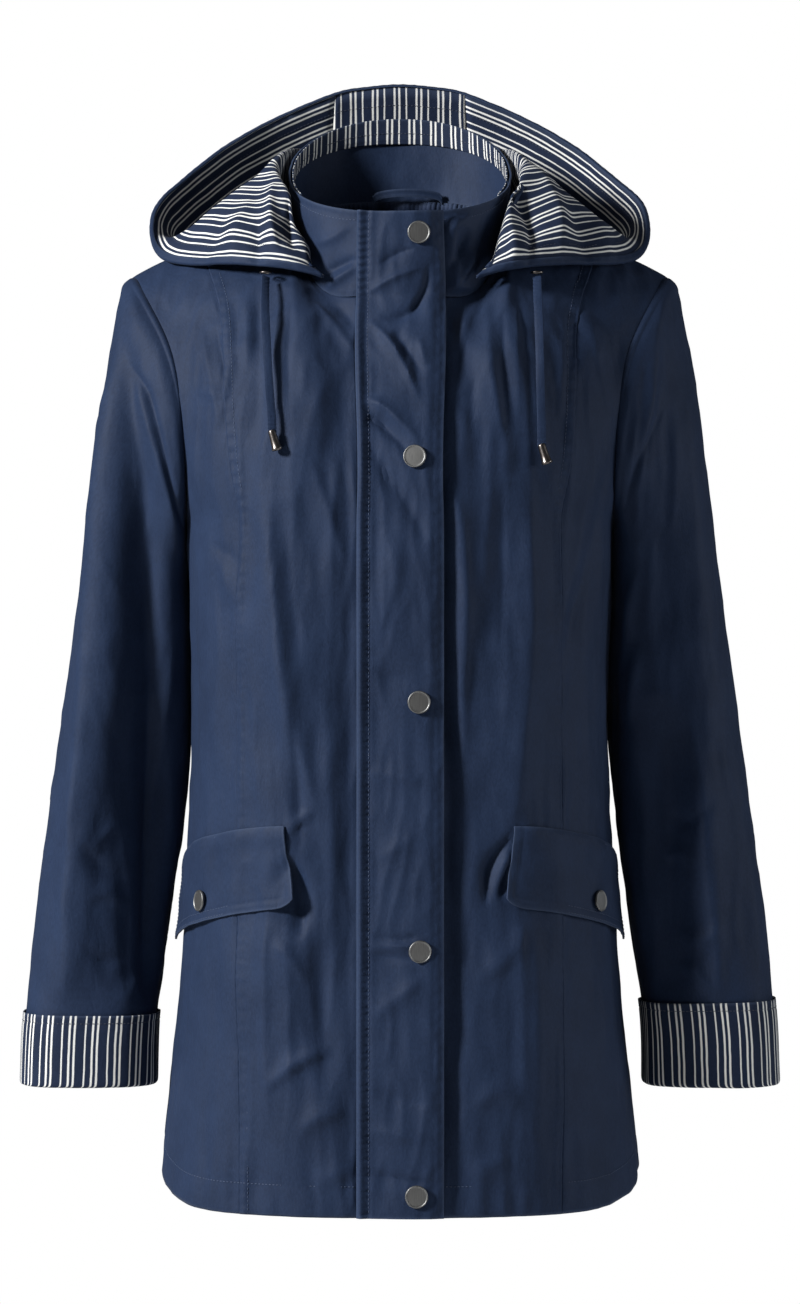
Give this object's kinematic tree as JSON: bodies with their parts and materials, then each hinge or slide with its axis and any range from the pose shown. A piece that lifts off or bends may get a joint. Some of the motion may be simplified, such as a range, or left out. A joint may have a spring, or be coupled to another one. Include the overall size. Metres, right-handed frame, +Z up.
{
  "type": "jacket",
  "caption": "Women's hooded jacket in navy cotton canvas, closed with metal snaps, with its hood down to show the striped lining, a stand collar, pocket flaps and turned-up striped cuffs",
  "frame": {"origin": "Where the wearer holds it up: in the middle between the shoulders, level with the sides of the neck seam", "axes": "X to the wearer's left, Y to the back, Z up"},
  "size_m": [0.5884, 0.3184, 0.8758],
  "materials": {
    "canvas": "matte navy cotton canvas",
    "stripes": "matte cotton with fine pale stripes on navy",
    "lining": "plain navy lining",
    "metal": "dark satin metal"
  },
  "bodies": {
    "root": {"front_right": "canvas", "front_left": "canvas", "side_front_right": "canvas", "side_front_left": "canvas", "back": "canvas", "sleeve_right": "canvas", "sleeve_left": "canvas", "collar": "canvas", "hood_side_right": "canvas", "hood_centre": "canvas", "hood_side_left": "canvas", "placket": "canvas", "flap_right": "canvas", "flap_left": "canvas", "hanger_loop": "canvas", "tie_right": "canvas", "tie_left": "canvas", "cuff_right": "stripes", "cuff_left": "stripes", "collar_band": "stripes", "hood_lining_right": "stripes", "hood_lining_centre": "stripes", "hood_lining_left": "stripes", "back_lining": "lining", "snap_1": "metal", "snap_2": "metal", "snap_3": "metal", "snap_4": "metal", "snap_5": "metal", "flap_snap_right": "metal", "flap_snap_left": "metal", "eyelet_right": "metal", "eyelet_left": "metal", "tip_right": "metal", "tip_left": "metal"}
  },
  "joints": []
}
